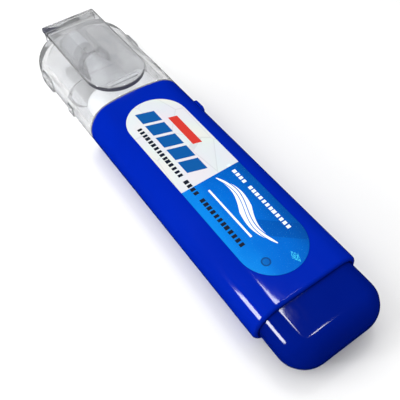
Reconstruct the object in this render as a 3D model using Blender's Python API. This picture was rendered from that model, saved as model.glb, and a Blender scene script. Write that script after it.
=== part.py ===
"""Flat correction pen with a squeezable barrel and a clear clip cap, lying with its label up.

The pen's axis runs along Y, from the tail at -Y to the cap's tip at +Y. X is across the flat
barrel and Z is up. Meshes are drawn about the axis, and one empty per moving body lifts them
to the axis height. Everything is in metres.
"""

import math

import bmesh
import bpy

MM = 0.001

# Driving dimensions. Stations along the pen are measured from the tail end.
LENGTH = 115.0 * MM
BODY_WIDTH = 27.0 * MM
BODY_THICKNESS = 12.0 * MM
SIDE_RADIUS = 5.7 * MM
SIDE_WALL = 1.0 * MM
FACE_WALL = 0.8 * MM
GAP = 0.3 * MM
STEP_STATION = 11.7 * MM
MOUTH_STATION = 79.7 * MM
MOUTH_BOW = 2.0 * MM

TAIL_CORNER = 6.2 * MM
TAIL_EDGE = 4.4 * MM
TAIL_SKIRT = 7.0 * MM
TAIL_WALL = 1.5 * MM

BOTTLE_END_STATION = 72.0 * MM
BOTTLE_SHOULDER = 1.5 * MM
BOTTLE_WALL = 0.7 * MM
NECK_RADIUS = 4.2 * MM
NECK_BORE = 3.4 * MM
NECK_LENGTH = 4.9 * MM

FLANGE_DEPTH = 2.5 * MM
PLUG_LENGTH = 4.7 * MM
COLLAR_WIDTH = 19.4 * MM
COLLAR_THICKNESS = 9.0 * MM
COLLAR_STATION = 87.5 * MM
NOSE_RADIUS = 4.2 * MM
NOSE_STATION = 95.5 * MM
FLUID_BORE = 1.6 * MM
SOCKET_RADIUS = 2.5 * MM
SOCKET_DEPTH = 5.5 * MM

CONE_STATION = 104.5 * MM
CONE_RADIUS = 3.5 * MM
CHAMBER_RADIUS = 1.5 * MM
PIPE_SEAT_STATION = 101.2 * MM
PIPE_FLANGE = (1.3 * MM, 0.6 * MM)
PIPE_STATION = 108.6 * MM
PIPE_RADIUS = 0.6 * MM
PIPE_BORE = 0.42 * MM
ROD_RADIUS = 0.25 * MM
ROD_PROUD = 0.15 * MM
ROD_COLLAR = (1.15 * MM, 1.7 * MM)
FINE_GAP = 0.1 * MM

SPRING_START = 93.0 * MM
SPRING_END = 98.6 * MM
SPRING_TURNS = 7
CLOSE_PITCH = 0.45
SPRING_RADIUS = 0.95 * MM
WIRE_RADIUS = 0.14 * MM

BALL_RADIUS = 2.5 * MM
BALL_STATION = 45.0 * MM

CAP_WALL = 1.2 * MM
CAP_STEP_STATION = 92.2 * MM
CAP_CORNER = 8.0 * MM
CAP_EDGE = 3.5 * MM
CAP_END_WALL = 2.4 * MM
TUBE_STATION = 100.5 * MM
TUBE_RADIUS = 5.0 * MM
TUBE_BORE = 3.7 * MM
INNER_CAP_STATION = 106.3 * MM

CLIP_WIDTH = 16.0 * MM
CLIP_THICKNESS = 1.5 * MM
CLIP_GAP = 0.9 * MM
CLIP_TIP_STATION = 114.8 * MM
CLIP_TONGUE_STATION = 80.1 * MM
RISER_LENGTH = 2.0 * MM
BEAD_STATION = 83.5 * MM
BEAD_LENGTH = 9.0 * MM

LABEL_WIDTH = 15.7 * MM
LABEL_START = 16.0 * MM
LABEL_END = 74.4 * MM
BACK_LABEL_WIDTH = 13.0 * MM
BACK_LABEL_START = 24.0 * MM
BACK_LABEL_END = 66.0 * MM
FILM = 0.12 * MM
FILM_GAP = 0.05 * MM
RECESS = 0.15 * MM

SIDE_RELIEF = 0.4 * MM
SIDE_ROOT = 0.9 * MM
NIB_STATION = 68.7 * MM
PAD_STATION = 103.1 * MM
TAB_STATION = 89.2 * MM

CORNER_STEPS = 6
FLAT_STEPS = 6
ROUND_SIDES = 24

HALF_WIDTH = BODY_WIDTH / 2
HALF_THICKNESS = BODY_THICKNESS / 2
SLEEVE_INSIDE = (BODY_WIDTH - 2 * SIDE_WALL, BODY_THICKNESS - 2 * FACE_WALL)
TAIL_SECTION = (SLEEVE_INSIDE[0] - 2 * GAP, SLEEVE_INSIDE[1] - 2 * GAP)
BOTTLE_SECTION = (SLEEVE_INSIDE[0] - 2.6 * GAP, SLEEVE_INSIDE[1] - 2.6 * GAP)


def clear_scene():
    for item in list(bpy.data.objects):
        bpy.data.objects.remove(item, do_unlink=True)


def plastic(name, colour, roughness, metallic=0.0, alpha=1.0):
    material = bpy.data.materials.new(name)
    material.use_nodes = True
    shader = material.node_tree.nodes["Principled BSDF"]
    shader.inputs["Base Color"].default_value = (*colour, 1.0)
    shader.inputs["Roughness"].default_value = roughness
    shader.inputs["Metallic"].default_value = metallic
    shader.inputs["Alpha"].default_value = alpha
    material.diffuse_color = (*colour, alpha)
    return material


def add_empty(name, height=0.0, parent=None):
    empty = bpy.data.objects.new(name, None)
    empty.empty_display_size = 0.01
    empty.location.z = height
    empty.parent = parent
    bpy.context.scene.collection.objects.link(empty)
    return empty


def add_object(name, bm, material, parent):
    """Turns the bmesh into an object with outward faces and smooth round sides."""
    bmesh.ops.recalc_face_normals(bm, faces=bm.faces)
    mesh = bpy.data.meshes.new(name)
    bm.to_mesh(mesh)
    bm.free()
    mesh.shade_smooth()
    mesh.set_sharp_from_angle(angle=math.radians(35))
    if material:
        mesh.materials.append(material)
    item = bpy.data.objects.new(name, mesh)
    item.parent = parent
    bpy.context.scene.collection.objects.link(item)
    return item


def combine(target, other, operation):
    """Adds other to target, or cuts it away, and keeps other out of the finished part."""
    modifier = target.modifiers.new(other.name, "BOOLEAN")
    modifier.operation = operation
    modifier.solver = "EXACT"
    modifier.object = other
    other.hide_render = True
    other.display_type = "WIRE"


def station(distance):
    """Y of a point that lies this far from the tail end."""
    return distance - LENGTH / 2


def oval(width, height, radius, flat_steps=FLAT_STEPS, corner_steps=CORNER_STEPS):
    """Points round a rectangle with round corners, centred on the origin."""
    radius = min(radius, 0.48 * min(width, height))
    reach_x, reach_y = width / 2 - radius, height / 2 - radius
    points = []
    for quarter, (side_x, side_y) in enumerate([(1, 1), (-1, 1), (-1, -1), (1, -1)]):
        for step in range(corner_steps + 1):
            angle = math.pi / 2 * (quarter + step / corner_steps)
            x = side_x * reach_x + radius * math.cos(angle)
            y = side_y * reach_y + radius * math.sin(angle)
            points.append((x, y))
        if quarter in (0, 2):
            for step in range(1, flat_steps):
                share = 1 - 2 * step / flat_steps
                points.append((side_x * reach_x * share, side_y * height / 2))
    return points


def add_ring(bm, y, section, bow=0.0):
    """A closed ring of edges across the pen. A bow pulls its sides back towards the tail."""
    corners = []
    for x, z in section:
        corners.append(bm.verts.new((x, y - bow * (x / HALF_WIDTH) ** 2, z)))
    return [bm.edges.new(pair) for pair in zip(corners, corners[1:] + corners[:1])]


def skin(name, rings, material, parent, tube=False):
    """Bridges rings into one wall. A tube's last ring meets its first; a solid has filled ends."""
    bm = bmesh.new()
    loops = [add_ring(bm, *ring) for ring in rings]
    following = loops[1:] + loops[:1] if tube else loops[1:]
    for loop, after in zip(loops, following):
        bmesh.ops.bridge_loops(bm, edges=loop + after)
    if not tube:
        for loop in (loops[0], loops[-1]):
            bmesh.ops.contextual_create(bm, geom=loop)
    return add_object(name, bm, material, parent)


def turned(name, profile, material, parent, sides=ROUND_SIDES, closed=False):
    """Spins (y, radius) points about the pen's axis. A closed profile makes a ring or a tube."""
    bm = bmesh.new()
    points = [bm.verts.new((0.0, y, radius)) for y, radius in profile]
    edges = [bm.edges.new(pair) for pair in zip(points, points[1:])]
    if closed:
        edges.append(bm.edges.new((points[-1], points[0])))
    bmesh.ops.spin(
        bm,
        geom=points + edges,
        cent=(0.0, 0.0, 0.0),
        axis=(0.0, 1.0, 0.0),
        angle=2 * math.pi,
        steps=sides,
        use_merge=True,
    )
    bmesh.ops.remove_doubles(bm, verts=bm.verts, dist=0.001 * MM)
    return add_object(name, bm, material, parent)


def slab(name, outline, bottom, top, material, parent, bevel=0.0):
    """Raises a flat outline in X and Y from one height to another, with its edges eased."""
    bm = bmesh.new()
    base = bm.faces.new([bm.verts.new((x, y, bottom)) for x, y in outline])
    raised = bmesh.ops.extrude_face_region(bm, geom=[base])["geom"]
    moved = [item for item in raised if isinstance(item, bmesh.types.BMVert)]
    bmesh.ops.translate(bm, verts=moved, vec=(0.0, 0.0, top - bottom))
    if bevel:
        bmesh.ops.recalc_face_normals(bm, faces=bm.faces)
        rims = [e for e in bm.edges if abs(e.verts[0].co.z - e.verts[1].co.z) < 0.01 * MM]
        bmesh.ops.bevel(
            bm, geom=rims, offset=bevel, affect="EDGES", segments=2, profile=0.5, material=-1
        )
    return add_object(name, bm, material, parent)


def box_outline(half_width, start, end):
    return [(half_width, start), (half_width, end), (-half_width, end), (-half_width, start)]


def side_block(name, centre, length, height, side, parent, rounding):
    """A raised block on a narrow side: an oval in Y and Z, run outwards along X."""
    bm = bmesh.new()
    inner = side * (HALF_WIDTH - SIDE_ROOT)
    outer = side * (HALF_WIDTH + SIDE_RELIEF)
    outline = oval(length, height, rounding, flat_steps=1, corner_steps=4)
    base = bm.faces.new([bm.verts.new((inner, centre[0] + y, centre[1] + z)) for y, z in outline])
    raised = bmesh.ops.extrude_face_region(bm, geom=[base])["geom"]
    moved = [item for item in raised if isinstance(item, bmesh.types.BMVert)]
    bmesh.ops.translate(bm, verts=moved, vec=(outer - inner, 0.0, 0.0))
    return add_object(name, bm, None, parent)


def rounded_end(end, inward, section, corner, edge, radius, steps=7):
    """Rings from the flat of an end to the full section: round corners in plan, round edges above."""
    width, height = section
    rings = []
    for step in range(steps + 1):
        angle = math.pi / 2 * step / steps
        depth = corner * (1 - math.cos(angle))
        narrower = corner * (1 - math.sin(angle))
        thinner = 0.0
        if depth < edge:
            thinner = edge - math.sqrt(edge**2 - (edge - depth) ** 2)
        ring = oval(width - 2 * narrower, height - 2 * thinner, radius)
        rings.append((end + inward * depth, ring))
    return rings


# Barrel


def make_barrel_sleeve(material, parent):
    lip, ease = 0.8 * MM, 0.25 * MM
    back, mouth = station(STEP_STATION), station(MOUTH_STATION)
    outside = oval(BODY_WIDTH, BODY_THICKNESS, SIDE_RADIUS)
    inside = oval(*SLEEVE_INSIDE, SIDE_RADIUS - SIDE_WALL)
    lip_start = oval(BODY_WIDTH - 2 * lip, BODY_THICKNESS - 1.6 * lip, SIDE_RADIUS)
    lip_middle = oval(BODY_WIDTH - 0.6 * lip, BODY_THICKNESS - 0.6 * lip, SIDE_RADIUS)
    rim = oval(BODY_WIDTH - 2 * ease, BODY_THICKNESS - 2 * ease, SIDE_RADIUS)
    rings = [
        (back, inside),
        (back, lip_start),
        (back + 0.3 * lip, lip_middle),
        (back + lip, outside),
        (mouth - ease, outside, MOUTH_BOW),
        (mouth, rim, MOUTH_BOW),
        (mouth, inside, MOUTH_BOW),
    ]
    sleeve = skin("barrel_sleeve", rings, material, parent, tube=True)
    nib_place = (station(NIB_STATION), 1.2 * MM)
    nib = side_block("nib_shape", nib_place, 4.4 * MM, 3.0 * MM, 1, parent, 1.2 * MM)
    combine(sleeve, nib, "UNION")
    for name, outline, side in label_outlines(0.1 * MM):
        low = side * (HALF_THICKNESS - RECESS)
        high = side * (HALF_THICKNESS + RECESS)
        pocket = slab(name + "_pocket", outline, min(low, high), max(low, high), None, parent)
        combine(sleeve, pocket, "DIFFERENCE")


def label_outlines(margin=0.0):
    """Name, outline and side (+1 on top, -1 below) of each label."""
    labels = [
        ("front_label", LABEL_WIDTH, LABEL_START, LABEL_END, 1),
        ("back_label", BACK_LABEL_WIDTH, BACK_LABEL_START, BACK_LABEL_END, -1),
    ]
    for name, width, start, end, side in labels:
        across, along = width + 2 * margin, end - start + 2 * margin
        middle = station((start + end) / 2)
        points = oval(across, along, across / 2, flat_steps=1, corner_steps=8)
        yield name, [(x, middle + y) for x, y in points], side


def make_labels(materials, parent):
    for name, outline, side in label_outlines():
        low = side * (HALF_THICKNESS - RECESS + FILM_GAP)
        high = side * (HALF_THICKNESS - RECESS + FILM_GAP + FILM)
        slab(name, outline, min(low, high), max(low, high), materials[name], parent)


def make_tail_plug(material, parent):
    end = station(0.0)
    inner_end = station(STEP_STATION + TAIL_SKIRT)
    width, height = TAIL_SECTION
    radius = SIDE_RADIUS - SIDE_WALL - GAP
    hollow = oval(width - 2 * TAIL_WALL, height - 2 * TAIL_WALL, radius - TAIL_WALL)
    rings = rounded_end(end, 1, TAIL_SECTION, TAIL_CORNER, TAIL_EDGE, radius)
    rings.append((inner_end, oval(width, height, radius)))
    plug = skin("tail_plug", rings, material, parent)
    floor = station(TAIL_CORNER + TAIL_WALL)
    core = skin("tail_room", [(floor, hollow), (inner_end + MM, hollow)], None, parent)
    combine(plug, core, "DIFFERENCE")


def make_inner_bottle(material, parent):
    """A thin oval reservoir that is open only at its round neck."""
    start = station(STEP_STATION + TAIL_SKIRT) + GAP
    end = station(BOTTLE_END_STATION)
    width, height = BOTTLE_SECTION
    radius = height / 2
    rings = rounded_end(start, 1, (width, height), 2.5 * MM, 2.0 * MM, radius, steps=4)
    rings.append((end, oval(width, height, radius)))
    narrowed = oval(width - 3 * BOTTLE_SHOULDER, height - 2 * MM, radius)
    rings.append((end + BOTTLE_SHOULDER, narrowed))
    bottle = skin("inner_bottle", rings, material, parent)
    neck = [
        (end, 0.0),
        (end, NECK_RADIUS),
        (end + NECK_LENGTH, NECK_RADIUS),
        (end + NECK_LENGTH, 0.0),
    ]
    combine(bottle, turned("neck_shape", neck, None, parent), "UNION")
    room = (width - 2 * BOTTLE_WALL, height - 2 * BOTTLE_WALL)
    rings = rounded_end(start + BOTTLE_WALL, 1, room, 2.0 * MM, 1.5 * MM, radius, steps=4)
    rings.append((end, oval(*room, radius)))
    combine(bottle, skin("bottle_room", rings, None, parent), "DIFFERENCE")
    throat = [
        (end - MM, 0.0),
        (end - MM, NECK_BORE),
        (end + NECK_LENGTH + MM, NECK_BORE),
        (end + NECK_LENGTH + MM, 0.0),
    ]
    combine(bottle, turned("neck_bore", throat, None, parent), "DIFFERENCE")


def make_stirring_ball(material, parent):
    bm = bmesh.new()
    bmesh.ops.create_icosphere(bm, subdivisions=2, radius=BALL_RADIUS)
    ball = add_object("stirring_ball", bm, material, parent)
    room_floor = BOTTLE_WALL - BOTTLE_SECTION[1] / 2
    ball.location = (0.0, station(BALL_STATION), room_floor + GAP + BALL_RADIUS)


# Front end


def make_front_holder(material, parent):
    """White shoulder: a flange in the barrel's mouth, an oval collar, a round nose and a rear plug."""
    face = station(MOUTH_STATION) - GAP
    back = face - FLANGE_DEPTH
    collar_end = station(COLLAR_STATION)
    ease = 1.2 * MM
    flange = oval(*TAIL_SECTION, SIDE_RADIUS - SIDE_WALL - GAP)
    collar = oval(COLLAR_WIDTH, COLLAR_THICKNESS, COLLAR_THICKNESS / 2)
    eased = oval(COLLAR_WIDTH - 0.7 * ease, COLLAR_THICKNESS - 0.7 * ease, COLLAR_THICKNESS / 2)
    front = oval(COLLAR_WIDTH - 2 * ease, COLLAR_THICKNESS - 2 * ease, COLLAR_THICKNESS / 2)
    rings = [
        (back, flange, 0.0),
        (face, flange, MOUTH_BOW),
        (face, collar, MOUTH_BOW),
        (collar_end - ease, collar),
        (collar_end - 0.3 * ease, eased),
        (collar_end, front),
    ]
    holder = skin("front_holder", rings, material, parent)
    nose_end = station(NOSE_STATION)
    nose = [
        (collar_end - 2 * MM, 0.0),
        (collar_end - 2 * MM, NOSE_RADIUS),
        (nose_end - 0.5 * MM, NOSE_RADIUS),
        (nose_end, NOSE_RADIUS - 0.5 * MM),
        (nose_end, 0.0),
    ]
    combine(holder, turned("nose_shape", nose, None, parent), "UNION")
    combine(holder, turned("plug_shape", rear_plug_profile(back), None, parent), "UNION")
    socket = nose_end - SOCKET_DEPTH
    bore = [
        (back - PLUG_LENGTH - MM, 0.0),
        (back - PLUG_LENGTH - MM, FLUID_BORE),
        (socket, FLUID_BORE),
        (socket, SOCKET_RADIUS),
        (nose_end + MM, SOCKET_RADIUS),
        (nose_end + MM, 0.0),
    ]
    combine(holder, turned("fluid_bore", bore, None, parent), "DIFFERENCE")


def rear_plug_profile(back):
    """Spigot that enters the bottle's neck, with a groove for the packing ring."""
    radius, groove = NECK_BORE - GAP, NECK_BORE - 0.8 * MM
    return [
        (back - PLUG_LENGTH, 0.0),
        (back - PLUG_LENGTH, radius - 0.4 * MM),
        (back - PLUG_LENGTH + 0.4 * MM, radius),
        (back - 3.3 * MM, radius),
        (back - 3.3 * MM, groove),
        (back - 1.5 * MM, groove),
        (back - 1.5 * MM, radius),
        (back + 0.5 * MM, radius),
        (back + 0.5 * MM, 0.0),
    ]


def make_holder_packing(material, parent):
    """Rubber ring in the groove of the holder's rear plug."""
    middle = station(MOUTH_STATION) - GAP - FLANGE_DEPTH - 2.4 * MM
    centre_radius = NECK_BORE - 0.4 * MM
    half_width, half_height = 0.6 * MM, 0.27 * MM
    profile = []
    for step in range(8):
        angle = 2 * math.pi * (step + 0.5) / 8
        y = middle + half_width * math.cos(angle)
        profile.append((y, centre_radius + half_height * math.sin(angle)))
    turned("holder_packing", profile, material, parent, closed=True)


def make_tip_holder(material, parent):
    """Plastic cone that plugs into the nose and grips the needle pipe."""
    nose_end = station(NOSE_STATION)
    back = nose_end - SOCKET_DEPTH + GAP
    front = station(CONE_STATION)
    seat = station(PIPE_SEAT_STATION)
    profile = [
        (back, CHAMBER_RADIUS),
        (back, SOCKET_RADIUS - GAP),
        (nose_end + 0.2 * MM, SOCKET_RADIUS - GAP),
        (nose_end + 0.2 * MM, CONE_RADIUS),
        (nose_end + 1.6 * MM, CONE_RADIUS),
        (nose_end + 1.9 * MM, CONE_RADIUS - 0.3 * MM),
        (front - 0.4 * MM, 1.5 * MM),
        (front, 1.2 * MM),
        (front, PIPE_RADIUS + FINE_GAP),
        (seat, PIPE_RADIUS + FINE_GAP),
        (seat, CHAMBER_RADIUS),
    ]
    turned("tip_holder", profile, material, parent, closed=True)


def make_tip_pipe(material, parent):
    """Steel needle-point pipe with a flange behind the cone's seat."""
    front = station(PIPE_SEAT_STATION) - FINE_GAP
    end = station(PIPE_STATION)
    radius, thickness = PIPE_FLANGE
    profile = [
        (front - thickness, PIPE_BORE),
        (front - thickness, radius),
        (front, radius),
        (front, PIPE_RADIUS),
        (end - 0.5 * MM, PIPE_RADIUS),
        (end, PIPE_RADIUS - 0.1 * MM),
        (end, PIPE_BORE),
    ]
    turned("tip_pipe", profile, material, parent, sides=16, closed=True)


def make_valve_rod(material, parent):
    start, end = station(SPRING_START) - MM, station(PIPE_STATION) + ROD_PROUD
    profile = [
        (start, 0.0),
        (start, ROD_RADIUS),
        (end - 0.15 * MM, ROD_RADIUS),
        (end, 0.5 * ROD_RADIUS),
        (end, 0.0),
    ]
    turned("valve_rod", profile, material, parent, sides=12)


def make_rod_collar(material, parent):
    """Collar on the rod. The spring pushes it forward, against the pipe's flange."""
    radius, length = ROD_COLLAR
    start = station(SPRING_END) + FINE_GAP
    end = start + length
    profile = [
        (start, ROD_RADIUS + 0.05 * MM),
        (start, radius),
        (end - 0.4 * MM, radius),
        (end, radius - 0.45 * MM),
        (end, ROD_RADIUS + 0.05 * MM),
    ]
    turned("rod_collar", profile, material, parent, sides=16, closed=True)


def make_valve_spring(material, parent):
    """Coil with closed end turns, drawn as a bevelled curve."""
    back, front = station(SPRING_START) + WIRE_RADIUS, station(SPRING_END) - WIRE_RADIUS
    curve = bpy.data.curves.new("valve_spring", "CURVE")
    curve.dimensions = "3D"
    curve.bevel_depth = WIRE_RADIUS
    curve.bevel_resolution = 1
    curve.use_fill_caps = True
    points_per_turn = 12
    count = SPRING_TURNS * points_per_turn + 1
    spline = curve.splines.new("POLY")
    spline.points.add(count - 1)
    for index, point in enumerate(spline.points):
        turn = index / points_per_turn
        angle = 2 * math.pi * turn
        share = spring_share(turn)
        x, z = SPRING_RADIUS * math.cos(angle), SPRING_RADIUS * math.sin(angle)
        point.co = (x, back + share * (front - back), z, 1.0)
    curve.materials.append(material)
    item = bpy.data.objects.new("valve_spring", curve)
    item.parent = parent
    bpy.context.scene.collection.objects.link(item)


def spring_share(turn):
    """How far along the spring a turn lies, with a closer pitch in the first and last turn."""
    total = SPRING_TURNS - 2 + 2 * CLOSE_PITCH
    if turn < 1:
        return CLOSE_PITCH * turn / total
    if turn > SPRING_TURNS - 1:
        return 1 - CLOSE_PITCH * (SPRING_TURNS - turn) / total
    return (CLOSE_PITCH + turn - 1) / total


def make_spring_receiver(material, parent):
    """Bush that backs the spring, with two side channels for the fluid."""
    back = station(NOSE_STATION) - SOCKET_DEPTH + GAP + 0.2 * MM
    front = station(SPRING_START) - FINE_GAP
    profile = [
        (back, ROD_RADIUS + 2 * FINE_GAP),
        (back, CHAMBER_RADIUS - FINE_GAP),
        (front, CHAMBER_RADIUS - FINE_GAP),
        (front, ROD_RADIUS + 2 * FINE_GAP),
    ]
    bush = turned("spring_receiver", profile, material, parent, closed=True)
    middle, half_length = (back + front) / 2, front - back
    for side in (-1, 1):
        reach = side * CHAMBER_RADIUS
        outline = [
            (reach - 0.4 * MM, middle - half_length),
            (reach + 0.4 * MM, middle - half_length),
            (reach + 0.4 * MM, middle + half_length),
            (reach - 0.4 * MM, middle + half_length),
        ]
        name = f"channel_{side}"
        combine(bush, slab(name, outline, -0.3 * MM, 0.3 * MM, None, parent), "DIFFERENCE")


# Cap


def make_cap_shell(material, parent):
    """Clear cap in one moulding: shell, inner tube, clip, grip pads and side tabs."""
    tip = station(LENGTH)
    cap = skin("cap_shell", cap_rings(tip), material, parent)
    add_clip(cap, parent)
    for side in (-1, 1):
        pad_place, tab_place = (station(PAD_STATION), 0.0), (station(TAB_STATION), 0.0)
        pad = side_block(f"pad_{side}", pad_place, 7.6 * MM, 4.4 * MM, side, parent, 2.0 * MM)
        tab = side_block(f"tab_{side}", tab_place, 3.2 * MM, 3.0 * MM, side, parent, 0.4 * MM)
        combine(cap, pad, "UNION")
        combine(cap, tab, "UNION")
    tube_start, tube_end = station(TUBE_STATION), tip - CAP_END_WALL
    tube = [
        (tube_start, 0.0),
        (tube_start, TUBE_RADIUS),
        (tube_end + MM, TUBE_RADIUS),
        (tube_end + MM, 0.0),
    ]
    combine(cap, turned("tube_shape", tube, None, parent), "UNION")
    bore = [
        (tube_start - MM, 0.0),
        (tube_start - MM, TUBE_BORE),
        (tube_end - 0.2 * MM, TUBE_BORE),
        (tube_end - 0.2 * MM, 0.0),
    ]
    combine(cap, turned("tube_bore", bore, None, parent), "DIFFERENCE")


def cap_rings(tip):
    """The wall, from the floor of the hollow out to the mouth, then over the outside to the tip."""
    mouth, step = station(MOUTH_STATION) + GAP, station(CAP_STEP_STATION)
    outside = (BODY_WIDTH, BODY_THICKNESS)
    wide = (BODY_WIDTH - 2.2 * CAP_WALL, BODY_THICKNESS - 2 * CAP_WALL)
    narrow = (wide[0] - 2.0 * MM, wide[1] - 0.4 * MM)
    radius, ease = SIDE_RADIUS - CAP_WALL, 0.2 * MM
    rim = oval(BODY_WIDTH - 2 * ease, BODY_THICKNESS - 2 * ease, SIDE_RADIUS)
    rings = rounded_end(tip - CAP_END_WALL, -1, narrow, 6.0 * MM, 2.2 * MM, radius)
    rings += [
        (step, oval(*narrow, radius)),
        (step, oval(*wide, radius)),
        (mouth, oval(*wide, radius), MOUTH_BOW),
        (mouth, rim, MOUTH_BOW),
        (mouth + ease, oval(*outside, SIDE_RADIUS), MOUTH_BOW),
    ]
    rings += reversed(rounded_end(tip, -1, outside, CAP_CORNER, CAP_EDGE, SIDE_RADIUS))
    return rings


def add_clip(cap, parent):
    """Flat spring clip: a plate with a round tongue, its riser at the tip, and a grip bead below."""
    half = CLIP_WIDTH / 2
    tip, tongue = station(CLIP_TIP_STATION), station(CLIP_TONGUE_STATION)
    low = HALF_THICKNESS + CLIP_GAP
    outline = [(half, tip), (-half, tip)]
    for step in range(17):
        angle = math.pi * (1 + step / 16)
        outline.append((half * math.cos(angle), tongue + half + half * math.sin(angle)))
    plate = slab("clip_plate", outline, low, low + CLIP_THICKNESS, None, parent, bevel=0.25 * MM)
    combine(cap, plate, "UNION")
    foot, inset = 0.5 * MM, 0.3 * MM
    top = low + CLIP_THICKNESS / 2
    riser = box_outline(half - inset, tip - RISER_LENGTH, tip - inset)
    combine(cap, slab("clip_riser", riser, foot, top, None, parent), "UNION")
    bead = oval(BEAD_LENGTH, 1.2 * MM, 0.6 * MM, flat_steps=1, corner_steps=3)
    bead = [(x, station(BEAD_STATION) + y) for x, y in bead]
    combine(cap, slab("clip_bead", bead, low - CLIP_GAP / 2, top, None, parent), "UNION")


def make_inner_cap(material, parent):
    """Soft plug in the cap's tube, with a cup that closes over the needle point."""
    back, end = station(INNER_CAP_STATION), station(LENGTH) - CAP_END_WALL - 2 * GAP
    cup_end = station(PIPE_STATION) + ROD_PROUD + GAP
    outer = TUBE_BORE - GAP
    profile = [
        (cup_end, 0.0),
        (cup_end, PIPE_RADIUS + GAP),
        (back + 0.8 * MM, PIPE_RADIUS + GAP),
        (back, PIPE_RADIUS + 0.9 * MM),
        (back, outer - 0.4 * MM),
        (back + 0.4 * MM, outer),
        (end, outer),
        (end, 0.0),
    ]
    turned("inner_cap", profile, material, parent)


def build():
    clear_scene()
    body_axis = add_empty("body_axis", height=HALF_THICKNESS)
    valve_axis = add_empty("valve_axis", parent=body_axis)
    cap_axis = add_empty("cap_axis", parent=body_axis)

    blue = plastic("barrel_blue", (0.002, 0.024, 0.53), 0.28)
    tail_blue = plastic("tail_blue", (0.002, 0.018, 0.40), 0.12)
    white = plastic("holder_white", (0.90, 0.90, 0.91), 0.35)
    labels = {
        "front_label": plastic("front_film", (0.78, 0.79, 0.80), 0.25),
        "back_label": plastic("back_film", (0.85, 0.85, 0.86), 0.4),
    }

    make_barrel_sleeve(blue, body_axis)
    make_tail_plug(tail_blue, body_axis)
    make_labels(labels, body_axis)
    make_inner_bottle(plastic("bottle_milky", (0.85, 0.86, 0.86), 0.4), body_axis)
    make_stirring_ball(plastic("ball_steel", (0.6, 0.6, 0.6), 0.2, metallic=1.0), body_axis)

    make_front_holder(white, body_axis)
    make_holder_packing(plastic("packing_black", (0.02, 0.02, 0.02), 0.6), body_axis)
    make_tip_holder(plastic("tip_holder_white", (0.82, 0.83, 0.85), 0.35), body_axis)
    make_tip_pipe(plastic("pipe_steel", (0.66, 0.66, 0.66), 0.2, metallic=1.0), body_axis)
    make_spring_receiver(plastic("receiver_white", (0.8, 0.8, 0.8), 0.4), body_axis)
    make_valve_spring(plastic("spring_steel", (0.6, 0.6, 0.6), 0.25, metallic=1.0), body_axis)

    make_valve_rod(plastic("rod_steel", (0.66, 0.66, 0.66), 0.2, metallic=1.0), valve_axis)
    make_rod_collar(plastic("collar_steel", (0.6, 0.6, 0.6), 0.3, metallic=1.0), valve_axis)

    make_cap_shell(plastic("cap_clear", (0.86, 0.87, 0.88), 0.05, alpha=0.35), cap_axis)
    make_inner_cap(plastic("inner_cap_soft", (0.80, 0.80, 0.80), 0.5), cap_axis)


build()
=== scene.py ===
import math

import bmesh
import bpy
from mathutils import Matrix, Vector


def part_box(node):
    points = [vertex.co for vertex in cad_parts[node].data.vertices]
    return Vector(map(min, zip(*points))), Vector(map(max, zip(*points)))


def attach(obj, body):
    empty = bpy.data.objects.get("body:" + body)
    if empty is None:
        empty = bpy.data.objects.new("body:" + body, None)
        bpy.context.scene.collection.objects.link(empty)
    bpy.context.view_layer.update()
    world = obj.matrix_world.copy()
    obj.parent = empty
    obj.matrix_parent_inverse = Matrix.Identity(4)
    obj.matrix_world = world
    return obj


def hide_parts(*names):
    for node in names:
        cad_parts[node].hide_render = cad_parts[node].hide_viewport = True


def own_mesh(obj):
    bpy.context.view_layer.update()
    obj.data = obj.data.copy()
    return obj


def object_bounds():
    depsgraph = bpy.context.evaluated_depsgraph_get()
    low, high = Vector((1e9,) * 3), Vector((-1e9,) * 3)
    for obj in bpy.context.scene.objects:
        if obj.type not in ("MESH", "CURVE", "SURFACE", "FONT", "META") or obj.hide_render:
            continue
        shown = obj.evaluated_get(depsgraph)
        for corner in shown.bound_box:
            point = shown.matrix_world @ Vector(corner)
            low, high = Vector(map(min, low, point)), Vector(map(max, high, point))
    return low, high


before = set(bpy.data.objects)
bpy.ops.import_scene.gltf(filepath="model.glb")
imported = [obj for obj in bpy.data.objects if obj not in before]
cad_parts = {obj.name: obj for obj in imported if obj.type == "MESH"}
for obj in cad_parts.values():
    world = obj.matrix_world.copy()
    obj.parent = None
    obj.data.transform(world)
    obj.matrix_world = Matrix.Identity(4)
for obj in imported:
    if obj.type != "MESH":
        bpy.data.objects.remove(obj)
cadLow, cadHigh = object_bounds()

print("frame loaded:", len(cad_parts), "CAD nodes")

mm = 0.001
sleeveLow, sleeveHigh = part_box("barrel_sleeve")
tailEnd = cadLow.y                            # the pen's tail end, where stations start
axisHeight = (sleeveLow.z + sleeveHigh.z) / 2
bodyWidth = 2 * abs(sleeveLow.x)
bodyThickness = sleeveHigh.z - sleeveLow.z
sideRadius = 5.7 * mm                         # of the barrel's and the cap's rounded sides
sharpAngle = math.radians(32)                 # a steeper fold than this stays a crisp edge


def station(distance):
    return tailEnd + distance


# Modelling. Pieces are drawn about the pen's axis and lifted to its height at the end.

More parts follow.
